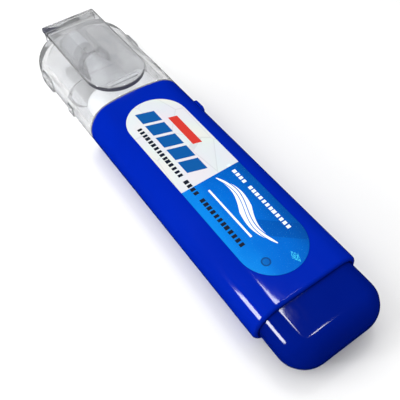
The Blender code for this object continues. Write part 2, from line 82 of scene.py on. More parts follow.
def ovalRing(bm, y, width, height, radius, steps, spans):
    # a rectangle with round corners, stood across the pen
    radius = min(radius, 0.48 * min(width, height))
    older = set(bm.edges)
    corners = bmesh.ops.create_grid(bm, x_segments=1, y_segments=1, size=0.5)["verts"]
    bmesh.ops.scale(bm, vec=(width, height, 1.0), verts=corners)
    bmesh.ops.bevel(bm, geom=corners, offset=radius, segments=steps, profile=0.5, affect="VERTICES",
                    material=-1)
    bmesh.ops.delete(bm, geom=[face for face in bm.faces if face.edges[0] not in older],
                     context="FACES_ONLY")
    loop = [edge for edge in bm.edges if edge not in older]
    flats = [edge for edge in loop if abs(edge.verts[0].co.x - edge.verts[1].co.x) > width - 2.1 * radius]
    bmesh.ops.subdivide_edges(bm, edges=flats, cuts=spans - 1)
    loop = [edge for edge in bm.edges if edge not in older]
    points = list({point for edge in loop for point in edge.verts})
    bmesh.ops.rotate(bm, verts=points, matrix=Matrix.Rotation(math.pi / 2, 3, "X"))
    bmesh.ops.translate(bm, verts=points, vec=(0, y, 0))
    return loop


def bridged(rings, rounds=None, tube=False, **detail):
    # skins a row of rings; a tube's last ring meets its first, a solid gets flat ends.
    # rounds gives some rings, by their place in the row, the radius of a round edge
    bm = bmesh.new()
    apart = 10 * mm                # rings are bridged well apart, then slid to their stations
    loops = [ovalRing(bm, index * apart, *ring[1:], **detail) for index, ring in enumerate(rings)]
    following = loops[1:] + loops[:1] if tube else loops[1:]
    for loop, after in zip(loops, following):
        bmesh.ops.bridge_loops(bm, edges=loop + after)
    for index, (loop, ring) in enumerate(zip(loops, rings)):
        points = list({point for edge in loop for point in edge.verts})
        bmesh.ops.translate(bm, verts=points, vec=(0, ring[0] - index * apart, 0))
    if not tube:
        for loop in (loops[0], loops[-1]):
            bmesh.ops.contextual_create(bm, geom=loop)
    bmesh.ops.recalc_face_normals(bm, faces=bm.faces)
    for index, radius in (rounds or {}).items():
        bmesh.ops.bevel(bm, geom=loops[index], offset=radius, segments=6, profile=0.5, affect="EDGES",
                        material=-1)
    return bm


def bowed(bm, full, reachBack, reachFront):
    # pulls the sides back towards the tail, most at one station and less away from it
    for point in bm.verts:
        away = point.co.y - full
        weight = max(0.0, 1 - (away / reachFront if away > 0 else -away / reachBack))
        point.co.y -= sleeve["bow"] * weight * (2 * point.co.x / bodyWidth) ** 2
    return bm


def roundedEnd(end, inward, width, height, radius, corner, edge, steps):
    # rings from the flat of an end to the full section: round corners in plan, round edges above
    rings = []
    for step in range(steps + 1):
        angle = math.pi / 2 * step / steps
        depth = corner * (1 - math.cos(angle))
        narrower = corner * (1 - math.sin(angle))
        thinner = edge - math.sqrt(edge**2 - (edge - depth) ** 2) if depth < edge else 0.0
        rings.append((end + inward * depth, width - 2 * narrower, height - 2 * thinner, radius))
    return rings


def spun(profile, closed=False, sides=72):
    # turns (y, radius) points about the pen's axis
    bm = bmesh.new()
    points = [bm.verts.new((0.0, y, radius)) for y, radius in profile]
    edges = [bm.edges.new(pair) for pair in zip(points, points[1:])]
    if closed:
        edges.append(bm.edges.new((points[-1], points[0])))
    bmesh.ops.spin(bm, geom=points + edges, cent=(0, 0, 0), axis=(0, 1, 0), angle=2 * math.pi,
                   steps=sides, use_merge=True)
    bmesh.ops.remove_doubles(bm, verts=bm.verts, dist=0.002 * mm)
    bmesh.ops.recalc_face_normals(bm, faces=bm.faces)
    return bm


def filletedCorner(profile, index, radius, steps=5):
    # swaps one point of a profile for a short arc
    before, here, after = (Vector(profile[index + shift]) for shift in (-1, 0, 1))
    toBefore, toAfter = (before - here).normalized(), (after - here).normalized()
    start, end = here + toBefore * radius, here + toAfter * radius
    arc = []
    for step in range(steps + 1):
        share = step / steps
        point = start.lerp(here, share).lerp(here.lerp(end, share), share)
        arc.append(tuple(point))
    return profile[:index] + arc + profile[index + 1:]


def filleted(profile, radii):
    # radii: {index of a point: radius of its arc}, worked from the last point back
    for index in sorted(radii, reverse=True):
        profile = filletedCorner(profile, index, radii[index])
    return profile


def thickened(bm, thickness, edge, segments=3):
    # raises a flat outline to a plate, and rounds its rims
    top = bmesh.ops.extrude_face_region(bm, geom=list(bm.faces))["geom"]
    bmesh.ops.translate(bm, verts=[v for v in top if isinstance(v, bmesh.types.BMVert)],
                        vec=(0, 0, thickness))
    bmesh.ops.recalc_face_normals(bm, faces=bm.faces)
    if edge:
        rims = [e for e in bm.edges if abs(e.verts[0].co.z - e.verts[1].co.z) < 0.01 * mm]
        bmesh.ops.bevel(bm, geom=rims, offset=edge, segments=segments, profile=0.5, affect="EDGES",
                        material=-1)
    return bm


def pill(y, low, high, width, length, radius, steps, edge=0.0):
    # a flat plate with round corners in plan, from low to high
    bm = bmesh.new()
    corners = bmesh.ops.create_grid(bm, x_segments=1, y_segments=1, size=0.5)["verts"]
    bmesh.ops.scale(bm, vec=(width, length, 1.0), verts=corners)
    bmesh.ops.bevel(bm, geom=corners, offset=min(radius, 0.499 * min(width, length)), segments=steps,
                    profile=0.5, affect="VERTICES", material=-1)
    bmesh.ops.translate(bm, verts=bm.verts, vec=(0, y, low))
    return thickened(bm, high - low, edge)


def meshed(name, bm, lift=True):
    if lift:
        bmesh.ops.translate(bm, verts=bm.verts, vec=(0, 0, axisHeight))
    mesh = bpy.data.meshes.new(name)
    bm.to_mesh(mesh)
    bm.free()
    item = bpy.data.objects.new(name, mesh)
    bpy.context.scene.collection.objects.link(item)
    return item


def applied(item):
    # keeps the mesh as its modifiers leave it
    graph = bpy.context.evaluated_depsgraph_get()
    made = bpy.data.meshes.new_from_object(item.evaluated_get(graph))
    item.modifiers.clear()
    item.data = made


def joined(target, bm, operation):
    # unites or cuts, and keeps only the result
    other = meshed("tool", bm)
    modifier = target.modifiers.new("join", "BOOLEAN")
    modifier.operation = operation
    modifier.solver = "EXACT"
    modifier.object = other
    applied(target)
    bpy.data.objects.remove(other)


def finished(item, finish, body, node):
    # smooths and paints a piece, and puts it in the place of its CAD node
    item.data.shade_smooth()
    item.data.set_sharp_from_angle(angle=sharpAngle)
    weights = item.modifiers.new("weights", "WEIGHTED_NORMAL")
    weights.keep_sharp = True
    applied(item)
    item.data.materials.clear()
    item.data.materials.append(finishes[finish])
    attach(item, body)
    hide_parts(node)
    print("made", item.name, len(item.data.polygons), "faces")


# Shader maths

class Value:
    # a socket that takes Python's operators; each one adds a Math node
    def __init__(self, paint, socket):
        self.paint, self.socket = paint, socket

    def math(self, operation, *others):
        values = [self, *others]
        return self.paint.add("ShaderNodeMath", {"operation": operation}, dict(enumerate(values)))

    def __add__(self, other):
        return self.math("ADD", other)

    def __radd__(self, other):
        return self.math("ADD", other)

    def __sub__(self, other):
        return self.math("SUBTRACT", other)

    def __rsub__(self, other):
        return self.paint.number(other).math("SUBTRACT", self)

    def __mul__(self, other):
        return self.math("MULTIPLY", other)

    def __rmul__(self, other):
        return self.math("MULTIPLY", other)

    def __truediv__(self, other):
        return self.math("DIVIDE", other)

    def __abs__(self):
        return self.math("ABSOLUTE")

    def __lt__(self, other):
        return self.math("LESS_THAN", other)

    def __gt__(self, other):
        return self.math("GREATER_THAN", other)

    def floor(self):
        return self.math("FLOOR")

    def fraction(self):
        return self.math("FRACT")

    def sine(self):
        return self.math("SINE")

    def root(self):
        return self.math("SQRT")

    def most(self, other):
        return self.math("MAXIMUM", other)


class Paint:
    # one material: its nodes, and the few patterns that the finishes share
    def __init__(self, name):
        self.material = bpy.data.materials.new(name)
        self.material.use_nodes = True
        self.nodes = self.material.node_tree.nodes
        self.links = self.material.node_tree.links
        self.shader = self.nodes["Principled BSDF"]
        self.place = self.add("ShaderNodeTexCoord", {}, {}, "Object")

    def add(self, kind, settings=None, sockets=None, output=0):
        node = self.nodes.new(kind)
        for key, value in (settings or {}).items():
            if key == "stops":
                self.setStops(node.color_ramp, value)
            else:
                setattr(node, key, value)
        for key, value in (sockets or {}).items():
            self.feed(node.inputs[key], value)
        return Value(self, node.outputs[output])

    def setStops(self, ramp, stops):
        while len(ramp.elements) < len(stops):
            ramp.elements.new(1.0)
        for element, (position, colour) in zip(ramp.elements, stops):
            element.position, element.color = position, (*colour, 1.0)

    def feed(self, socket, value):
        if isinstance(value, Value):
            self.links.new(value.socket, socket)
        else:
            socket.default_value = value

    def number(self, value):
        return self.add("ShaderNodeMath", {"operation": "ADD"}, {0: value, 1: 0.0})

    def set(self, **sockets):
        for name, value in sockets.items():
            self.feed(self.shader.inputs[plainName(name)], value)

    def axes(self):
        # the surface's x, its distance along the pen from the tail, and its z, in millimetres
        split = self.nodes.new("ShaderNodeSeparateXYZ")
        self.links.new(self.place.socket, split.inputs[0])
        x, y, z = [Value(self, output) * (1 / mm) for output in split.outputs]
        return x, y - tailEnd / mm, z

    def stretched(self, factors):
        return self.add("ShaderNodeMapping", {"vector_type": "POINT"},
                        {"Vector": self.place, "Scale": factors})

    def noise(self, size, detail=3.0, along=None):
        # size is one blotch in metres
        where = self.stretched(along) if along else self.place
        return self.add("ShaderNodeTexNoise", {}, {"Vector": where, "Scale": 1 / size, "Detail": detail})

    def between(self, share, low, high):
        # a number that goes from low to high as share goes from 0 to 1
        return share * (high - low) + low

    def ramp(self, share, *stops):
        return self.add("ShaderNodeValToRGB", {"stops": stops}, {0: share})

    def mix(self, share, first, second, blend="MIX"):
        return self.add("ShaderNodeMix", {"data_type": "RGBA", "blend_type": blend},
                        {0: share, 6: first, 7: second}, 2)

    def bump(self, height, distance):
        return self.add("ShaderNodeBump", {}, {"Height": height, "Distance": distance})


def plainName(name):
    # baseColor becomes Base Color
    spaced = "".join(" " + letter if letter.isupper() else letter for letter in name)
    return {"ior": "IOR", "specular": "Specular IOR Level"}.get(name, spaced.title())


def colour(red, green, blue):
    return (red, green, blue, 1.0)


# Finishes

blues = {
    # deep and light dye, roughness, gloss level
    "barrel": ("barrelBlue", (0.0001, 0.013, 0.33), (0.0003, 0.018, 0.40), 0.07, 0.40),
    "tail": ("tailBlue", (0.0001, 0.006, 0.16), (0.0002, 0.010, 0.22), 0.06, 0.45),
}
plastics = {
    # glow: share of light that goes in, and how far each colour of it gets
    "holder": {"name": "holderWhite", "dark": (0.70, 0.71, 0.725), "light": (0.75, 0.76, 0.77),
               "blotch": 3 * mm, "grain": 0.3 * mm, "detail": 3.0, "rough": (0.28, 0.4), "height": 0.01 * mm},
    "cone": {"name": "coneWhite", "dark": (0.60, 0.615, 0.64), "light": (0.68, 0.69, 0.71),
             "blotch": 2 * mm, "grain": 0.25 * mm, "detail": 3.0, "rough": (0.25, 0.4), "height": 0.01 * mm},
    "bottle": {"name": "bottleMilky", "dark": (0.78, 0.79, 0.79), "light": (0.88, 0.88, 0.87),
               "blotch": 6 * mm, "grain": 0.5 * mm, "detail": 3.0, "rough": (0.35, 0.5), "height": 0.02 * mm,
               "glow": (0.3, (0.8 * mm, 0.8 * mm, 0.7 * mm))},
    "packing": {"name": "packingBlack", "dark": (0.012, 0.012, 0.012), "light": (0.03, 0.03, 0.032),
                "grain": 0.2 * mm, "detail": 5.0, "rough": (0.55, 0.8), "height": 0.02 * mm},
    "receiver": {"name": "receiverWhite", "dark": (0.74, 0.74, 0.73), "light": (0.82, 0.82, 0.81),
                 "grain": 0.3 * mm, "detail": 4.0, "rough": (0.4, 0.55), "height": 0.01 * mm},
    "innerCap": {"name": "innerCapSoft", "dark": (0.72, 0.73, 0.75), "light": (0.84, 0.85, 0.86),
                 "blotch": 2 * mm, "grain": 0.3 * mm, "detail": 4.0, "rough": (0.4, 0.55),
                 "height": 0.015 * mm, "glow": (0.4, (mm, mm, mm))},
}
steels = {
    # brightness, least and most roughness
    "pipe": (0.70, 0.28, 0.42), "spring": (0.55, 0.18, 0.3), "rod": (0.66, 0.10, 0.2),
    "collar": (0.52, 0.2, 0.35), "ball": (0.60, 0.06, 0.18),
}


def bluePlastic(name, deep, light, roughness, gloss):
    # dyed moulding: faint flow clouds, fine skin, a few handling marks
    paint = Paint(name)
    clouds = paint.noise(14 * mm, 2.0)
    skin = paint.noise(0.35 * mm, 4.0)
    scuffs = paint.noise(2.2 * mm, 5.0, along=(1.0, 0.25, 1.0))
    marks = paint.ramp(scuffs, (0.58, (0, 0, 0)), (0.75, (1, 1, 1)))
    paint.set(baseColor=paint.mix(clouds, colour(*deep), colour(*light)),
              roughness=paint.between(skin, roughness - 0.03, roughness + 0.03) + marks * 0.05,
              normal=paint.bump(skin * 0.4 + clouds * 3.0, 0.002 * mm), specular=gloss)
    return paint.material


def plainPlastic(look):
    # moulding or rubber with a blotched tone and a fine grain; some let a little light in
    paint = Paint(look["name"])
    grain = paint.noise(look["grain"], look["detail"])
    blotch = paint.noise(look["blotch"]) if "blotch" in look else grain
    paint.set(baseColor=paint.mix(blotch, colour(*look["dark"]), colour(*look["light"])),
              roughness=paint.between(grain, *look["rough"]), normal=paint.bump(grain, look["height"]))
    if "glow" in look:
        weight, depth = look["glow"]
        paint.set(subsurfaceWeight=weight, subsurfaceRadius=depth)
    return paint.material


def steel(name, bright, smooth, rough):
    # drawn metal: fine lines along the pen, and a slightly yellower stain
    paint = Paint(name)
    lines = paint.noise(0.12 * mm, 3.0, along=(1.0, 0.15, 1.0))
    stain = paint.noise(1.5 * mm)
    clean = colour(bright, bright, bright * 1.02)
    stained = colour(bright * 0.85, bright * 0.84, bright * 0.82)
    paint.set(baseColor=paint.mix(stain, clean, stained), metallic=0.85,
              roughness=paint.between(lines, smooth, rough), normal=paint.bump(lines, 0.003 * mm))
    return paint.material


def makeFinishes():
    made = {key: bluePlastic(*look) for key, look in blues.items()}
    made.update({key: plainPlastic(look) for key, look in plastics.items()})
    made.update({key: steel(key + "Steel", *look) for key, look in steels.items()})
    made.update({"cap": capClear(), "frontFilm": frontFilm(), "backFilm": backFilm()})
    print("finishes mixed:", len(made))
    return made


cap = {
    "wall": 1.2 * mm, "step": 92.2 * mm, "corner": 8.0 * mm, "edge": 3.5 * mm, "endWall": 2.4 * mm,
    "innerCorner": 6.0 * mm, "innerEdge": 2.2 * mm, "rim": 0.2 * mm,
    "tubeStart": 100.5 * mm, "tubeRadius": 5.0 * mm, "tubeBore": 3.7 * mm,
}
capBlocks = {
    # station, height up, length, height, corner radius and edge radius of the blocks on each side
    "pad": (103.1 * mm, 0, 7.6 * mm, 4.4 * mm, 2.0 * mm, 0.15 * mm),
    "tab": (89.2 * mm, 0, 3.2 * mm, 3.0 * mm, 0.4 * mm, 0.15 * mm),
}
clip = {
    "width": 16.0 * mm, "thickness": 1.5 * mm, "gap": 0.9 * mm, "tip": 114.8 * mm, "tongue": 80.1 * mm,
    "edge": 0.3 * mm, "riser": 2.0 * mm,
    "bead": 83.5 * mm, "beadSize": (9.0 * mm, 1.2 * mm, 0.5 * mm),    # station; width, length, corner radius
}
capMarks = {
    # where the tints of the clear moulding lie, in millimetres; they are painted shade, and at the tip corner
    # a painted reflection
    "rimInset": 0.2, "tongueLength": 7.0, "cornerStation": 112.0, "cornerX": -3.5, "cornerSlope": 0.58,
    "ringInner": 3.5, "ringOuter": 5.2, "ringHalf": 0.7,
}
capTints = {
    # the plate, stem, ring, rim and tongue end tones are painted shade; the tongue end tone also paints a
    # dark reflection at the tip corner
    "hazy": (0.76, 0.765, 0.775), "clear": (0.88, 0.885, 0.89),
    "plateShadeHazy": (0.46, 0.465, 0.475), "plateShadeClear": (0.82, 0.825, 0.835),
    "stem": (0.50, 0.505, 0.51), "ring": (0.20, 0.19, 0.23), "rim": (0.34, 0.34, 0.35),
    "tongueEndShade": (0.06, 0.06, 0.09), "shadow": (0.92, 0.923, 0.928),
}


def capClear():
    # clear moulding with faint flow haze and painted shade on the clip's plate, its rims, its tongue end,
    # over its riser and in a ring at the tube's mouth, and a painted reflection at its tip corner; lamps pass
    # through it to what is below
    paint = Paint("capClear")
    haze, skin = paint.noise(5 * mm, 3.0, along=(1.0, 0.4, 1.0)), paint.noise(0.8 * mm, 3.0)
    x, y, z = paint.axes()
    tones, marks = {key: colour(*tone) for key, tone in capTints.items()}, capMarks
    low = (2 * axisHeight + clip["gap"]) / mm                # underside and top of the clip's plate
    high = low + clip["thickness"] / mm
    plate = z > low - 0.3
    # painted shade: the plate is darker again over the riser near the tip
    stem = plate * (y > (clip["tip"] - 2 * clip["riser"]) / mm)
    # painted shade: the plate's edge faces, between its heights, are tinted dark
    rim = (z > low + marks["rimInset"]) * (z < high - marks["rimInset"])
    # painted shade: the round end of the plate's edge is tinted nearly black
    tongueEndShade = rim * (y < clip["tongue"] / mm + marks["tongueLength"])
    # painted reflection: a dark triangle at the plate's tip corner stands for the riser's corner reflected
    # inside the plate
    past = y - marks["cornerStation"]
    corner = plate * (past > 0) * (past < (marks["cornerX"] - x) * marks["cornerSlope"])
    # painted shade: a dark ring at the tube's mouth, as seen through the plate
    across = (x * x + (z - axisHeight / mm) * (z - axisHeight / mm)).root()
    ring = (across < marks["ringOuter"]) * (across > marks["ringInner"])
    ring = ring * (abs(y - cap["tubeStart"] / mm) < marks["ringHalf"])
    clear = paint.mix(haze, tones["hazy"], tones["clear"])
    # painted shade: the clip's plate is tinted darker grey than the rest of the clear moulding
    tint = paint.mix(plate, clear, paint.mix(haze, tones["plateShadeHazy"], tones["plateShadeClear"]))
    for mask, tone in ((stem, "stem"), (ring, "ring"), (rim, "rim"), (tongueEndShade.most(corner), "tongueEndShade")):
        tint = paint.mix(mask, tint, tones[tone])
    paint.set(baseColor=tint, roughness=paint.between(haze, 0.0, 0.035), transmissionWeight=0.88, ior=1.32,
              normal=paint.bump(skin * 0.3 + haze * 2.0, 0.006 * mm))
    passing = paint.add("ShaderNodeBsdfTransparent", {}, {"Color": tones["shadow"]})
    ray = paint.add("ShaderNodeLightPath", {}, {}, "Is Shadow Ray")
    surface = paint.add("ShaderNodeMixShader", {}, {0: ray, 1: Value(paint, paint.shader.outputs[0]),
                                                    2: passing})
    paint.links.new(surface.socket, paint.nodes["Material Output"].inputs["Surface"])
    return paint.material


labelPrint = {
    "divide": 44.8,                               # the silver half is on the tip's side of this station
    "blocks": (-1.3, 2.3, 68.6, 4.75, 5, 3.9),    # centre x, half width, first station, pitch, count, length
    "redBar": (3.6, 1.1, 61.5, 5.4),              # centre x, half width, centre station, half length
    "blackRow": (-5.25, 0.60, 46.5, 20.5),
    "whiteRow": (5.35, 0.46, 34.5, 11.0),
    "swoosh": (0.9, 33.3, 10.6, 1.3, 1.5, 21.0),  # centre x, station, half length, swing, half width, wave
    "underline": (-2.5, 0.24, 34.5, 7.5),
    "ring": (-3.8, 20.7, 1.05, 0.72),             # centre x, station, outer and inner radius
    # the glint is a painted highlight on the metallic film
    "glint": (1.8, 18.3, 1.7),                    # centre x, station, size
}
labelInks = {
    # glint and sparkle are painted highlights, and the crease ink is painted shade along the film's fine
    # creases
    "silver": (0.68, 0.695, 0.71), "creaseShade": (0.45, 0.47, 0.50), "band": (0.001, 0.045, 0.26),
    "glint": (0.05, 0.62, 0.85), "sparkle": (0.10, 0.70, 0.95), "ring": (0.006, 0.03, 0.12),
    "blocks": (0.006, 0.10, 0.36), "red": (0.66, 0.045, 0.035), "black": (0.012, 0.016, 0.03),
    "white": (0.80, 0.90, 0.95), "swoosh": (0.88, 0.93, 0.95),
}
silverDrift = ((0.30, (0.90, 0.80, 0.88)), (0.42, (0.80, 0.84, 0.92)), (0.52, (0.80, 0.92, 0.86)),
               (0.64, (0.93, 0.91, 0.80)), (0.75, (0.92, 0.84, 0.86)))
blueDrift = ((0.0, (0.001, 0.070, 0.34)), (0.5, (0.001, 0.13, 0.58)), (1.0, (0.004, 0.27, 0.80)))


def stripe(x, y, place):
    # a mask of a bar: centre across, half width, centre along, half length
    across, halfWidth, along, halfLength = place
    return (abs(x - across) < halfWidth) * (abs(y - along) < halfLength)


def dashes(paint, x, y, place, pitch):
    # a bar cut into short unequal marks
    cell = (y / pitch).floor()
    chance = paint.add("ShaderNodeTexWhiteNoise", {"noise_dimensions": "1D"}, {"W": cell})
    mark = ((y / pitch).fraction() < paint.between(chance, 0.55, 0.85)) * (chance > 0.14)
    return stripe(x, y, place) * mark


def silverFilm(paint, drift, inks):
    # pale foil with a drifting tint and a few fine creases, drawn as grey lines of painted shade
    cells = {"Vector": paint.stretched((1.0, 0.55, 1.0)), "Scale": 1 / (7 * mm)}
    facets = paint.add("ShaderNodeTexVoronoi", {"feature": "F1"}, cells, "Color")
    silver = paint.mix(0.45, inks["silver"], paint.ramp(drift, *silverDrift))
    silver = paint.mix(0.10, silver, facets, "SOFT_LIGHT")
    # painted shade: the film's creases are drawn as grey lines
    creaseShade = paint.add("ShaderNodeTexVoronoi", {"feature": "DISTANCE_TO_EDGE"}, cells) < 0.012
    return paint.mix(creaseShade * 0.28, silver, inks["creaseShade"])


def blueFilm(paint, x, y, drift, flakes, inks):
    # metallic blue, with painted shade that makes it lighter on the left and darker to the right, a dark
    # diagonal band, a painted highlight glint and fine painted sparkle
    # painted shade: the second term lightens the blue on the left side and darkens it on the right
    share = paint.between(drift, -0.35, 0.35) + paint.between(x / 15 + 0.5, 0.80, 0.10)
    blue = paint.ramp(share, *blueDrift)
    band = (abs(y - 25.5 + (x - 3.0) * 0.9) < 2.6) * (x > 0.6)
    blue = paint.mix(band * 0.40, blue, inks["band"])
    glintX, glintY, glintSize = labelPrint["glint"]
    # painted highlight: a bright cyan glint, broken up by the flakes
    glint = ((abs(x - glintX) + abs(y - glintY) * 0.5 + drift * 1.5) < glintSize) * (flakes > 0.5)
    blue = paint.mix(glint * 0.8, blue, inks["glint"])
    # painted highlight: fine bright sparkle where the flake noise is high
    sparkle = paint.ramp(flakes, (0.66, (0, 0, 0)), (0.72, (1, 1, 1)))
    return paint.mix(sparkle * 0.25, blue, inks["sparkle"])


def ringMask(x, y):
    # a plain ring, half filled inside
    ringX, ringY, outer, inner = labelPrint["ring"]
    away = ((x - ringX) * (x - ringX) + (y - ringY) * (y - ringY)).root()
    return (away < outer) * (1 - (away < inner) * 0.55)


def blocksMask(x, y):
    # a row of slanted blocks
    across, half, first, pitch, count, length = labelPrint["blocks"]
    run = (first - (y + (x - across) * 0.32)) / pitch
    within = ((run + 0.5).fraction() < length / pitch) * (run > -0.5) * (run < count - 0.5)
    return within * (abs(x - across) < half)


def swooshMask(x, y):
    # a waved ribbon that tapers to both ends, with two hair gaps, over a straight line
    across, along, halfLength, swing, half, wave = labelPrint["swoosh"]
    offset = x - (((y - along) * (2 * math.pi / wave)).sine() * swing + across)
    share = 1 - abs(y - along) / halfLength
    hair = (abs(offset - 0.45) < 0.11).most(abs(offset + 0.35) < 0.09)
    ribbon = (abs(offset) < share * half + 0.12) * (share > 0) * (1 - hair)
    return ribbon.most(stripe(x, y, labelPrint["underline"]))


def frontFilm():
    # metallised print film: silver half, blue half, and plain generic shapes
    paint = Paint("frontFilm")
    x, y = paint.axes()[:2]
    inks = {key: colour(*ink) for key, ink in labelInks.items()}
    flakes = paint.noise(0.25 * mm, 2.0)
    drift = paint.noise(9 * mm, 2.0, along=(1.0, 0.6, 1.0))
    silverSide = y > labelPrint["divide"]
    film = paint.mix(silverSide, blueFilm(paint, x, y, drift, flakes, inks), silverFilm(paint, drift, inks))
    for mask, ink in (
        (ringMask(x, y) * 0.75, "ring"),
        (blocksMask(x, y), "blocks"),
        (stripe(x, y + x * 0.3, labelPrint["redBar"]), "red"),
        (dashes(paint, x, y, labelPrint["blackRow"], 1.25), "black"),
        (dashes(paint, x, y, labelPrint["whiteRow"], 1.15), "white"),
        (swooshMask(x, y), "swoosh"),
    ):
        film = paint.mix(mask, film, inks[ink])
    paint.set(baseColor=film, roughness=paint.between(flakes, 0.06, 0.12),
              metallic=paint.between(silverSide, 0.0, 0.10), specular=0.4,
              normal=paint.bump(drift * 2.0 + flakes * 0.15, 0.012 * mm))
    return paint.material


backPrint = {
    "rows": 7, "firstX": -4.2, "apart": 1.4, "half": 0.22, "middle": 44.0, "halfLength": 17.0, "pitch": 1.3,
    "shift": 3.7,                                 # each row's marks start this much further along
    "paper": ((0.74, 0.75, 0.77), (0.80, 0.81, 0.82)), "ink": (0.03, 0.04, 0.08),
}


def backFilm():
    # satin film with plain rows of marks where the small print would be
    paint, art = Paint("backFilm"), backPrint
    x, y = paint.axes()[:2]
    grain, clouds = paint.noise(0.3 * mm, 3.0), paint.noise(6 * mm)
    dark, light = art["paper"]
    film = paint.mix(clouds, colour(*dark), colour(*light))
    for row in range(art["rows"]):
        shift = art["shift"] * row
        place = (art["firstX"] + art["apart"] * row, art["half"], art["middle"] + shift,
                 art["halfLength"] - 1.5 * (row % 3))
        film = paint.mix(dashes(paint, x, y + shift, place, art["pitch"]), film, colour(*art["ink"]))
    paint.set(baseColor=film, roughness=paint.between(grain, 0.35, 0.5), normal=paint.bump(grain, 0.01 * mm))
    return paint.material


finishes = makeFinishes()


# Barrel

sleeve = {
    "start": 11.7 * mm, "mouth": 79.7 * mm, "bow": 2.0 * mm,
    "sideWall": 1.0 * mm, "faceWall": 0.8 * mm,
    "lip": 0.75 * mm, "rim": 0.25 * mm,
    "nibAlong": 68.7 * mm, "nibUp": 1.2 * mm, "nibLength": 4.4 * mm, "nibHeight": 3.0 * mm,
    "nibCorner": 1.2 * mm, "nibEdge": 0.22 * mm, "pocket": 0.15 * mm, "pocketEase": 0.1 * mm,
}
sideBlock = {"sunk": 0.9 * mm, "proud": 0.38 * mm}       # how deep and how high a block on a side stands
label = {
    "width": 15.7 * mm, "start": 16.0 * mm, "end": 74.4 * mm, "film": 0.12 * mm, "filmEdge": 0.03 * mm,
    "under": 0.05 * mm,
}
backLabel = {"width": 13.0 * mm, "start": 24.0 * mm, "end": 66.0 * mm}


def blockOnSide(side, along, up, length, height, corner, edge):
    # a low block with round corners on a narrow side: 1 is the right side, -1 the left
    block = pill(0, -sideBlock["sunk"], sideBlock["proud"], height, length, corner, 8, edge)
    bmesh.ops.rotate(block, verts=block.verts, matrix=Matrix.Rotation(side * math.pi / 2, 3, "Y"))
    bmesh.ops.translate(block, verts=block.verts, vec=(side * bodyWidth / 2, station(along), up))
    return block


def makeSleeve():
    s = sleeve
    start, mouth = station(s["start"]), station(s["mouth"])
    inside = (bodyWidth - 2 * s["sideWall"], bodyThickness - 2 * s["faceWall"], sideRadius - s["sideWall"])
    outside = (bodyWidth, bodyThickness, sideRadius)
    rings = [(start, *inside), (start, *outside), (start + 6 * mm, *outside), (start + 30 * mm, *outside),
             (mouth - 4 * mm, *outside), (mouth, *outside), (mouth, *inside)]
    shape = bridged(rings, {1: s["lip"], 5: s["rim"]}, tube=True, steps=14, spans=14)
    bowed(shape, mouth, 60 * mm, mm)
    item = meshed("barrelSleeve", shape)
    nib = blockOnSide(1, s["nibAlong"], s["nibUp"], s["nibLength"], s["nibHeight"], s["nibCorner"],
                      s["nibEdge"])
    joined(item, nib, "UNION")
    for shape, side in ((label, 1), (backLabel, -1)):
        length = shape["end"] - shape["start"]
        low, high = sorted((side * (bodyThickness / 2 - s["pocket"]), side * (bodyThickness / 2 + mm)))
        width = shape["width"] + s["pocketEase"]
        cut = pill(station(shape["start"] + length / 2), low, high, width, length + s["pocketEase"],
                   width / 2, 28)
        joined(item, cut, "DIFFERENCE")
    finished(item, "barrel", "barrel", "barrel_sleeve")


def makeLabel(name, shape, side, finish, node):
    length = shape["end"] - shape["start"]
    base = bodyThickness / 2 - sleeve["pocket"] + label["under"]
    low, high = sorted((side * base, side * (base + label["film"])))
    film = pill(station(shape["start"] + length / 2), low, high, shape["width"], length,
                shape["width"] / 2, 28, label["filmEdge"])
    finished(meshed(name, film), finish, "barrel", node)


tail = {"corner": 6.2 * mm, "edge": 4.4 * mm, "wall": 1.5 * mm, "skirt": 7.0 * mm, "gap": 0.3 * mm}


def sectionInside():
    # width, height and corner radius of what slides into the sleeve
    gap = tail["gap"]
    return (bodyWidth - 2 * sleeve["sideWall"] - 2 * gap, bodyThickness - 2 * sleeve["faceWall"] - 2 * gap,
            sideRadius - sleeve["sideWall"] - gap)


def makeTail():
    width, height, radius = sectionInside()
    innerEnd = station(sleeve["start"] + tail["skirt"])
    rings = roundedEnd(station(0), 1, width, height, radius, tail["corner"], tail["edge"], steps=20)
    rings.append((innerEnd, width, height, radius))
    item = meshed("tailPlug", bridged(rings, steps=14, spans=8))
    wall = tail["wall"]
    room = [(station(tail["corner"] + wall), width - 2 * wall, height - 2 * wall, radius - wall),
            (innerEnd + mm, width - 2 * wall, height - 2 * wall, radius - wall)]
    joined(item, bridged(room, steps=10, spans=4), "DIFFERENCE")
    finished(item, "tail", "barrel", "tail_plug")


makeSleeve()
makeLabel("frontLabel", label, 1, "frontFilm", "front_label")
makeLabel("backLabel", backLabel, -1, "backFilm", "back_label")
makeTail()


# Front end

holder = {
    "flange": 2.5 * mm, "flangeEdge": 0.2 * mm, "collarWidth": 19.4 * mm, "collarThickness": 9.0 * mm,
    "collarEnd": 87.5 * mm, "ease": 1.2 * mm, "noseRadius": 4.2 * mm, "noseEnd": 95.5 * mm, "bore": 1.6 * mm,
    "socketRadius": 2.5 * mm, "socketDepth": 5.5 * mm, "plug": 4.7 * mm, "plugRadius": 3.1 * mm,
    "plugChamfer": 0.4 * mm, "grooveDepth": 0.5 * mm, "grooveBack": 3.3 * mm, "grooveFront": 1.5 * mm,
}


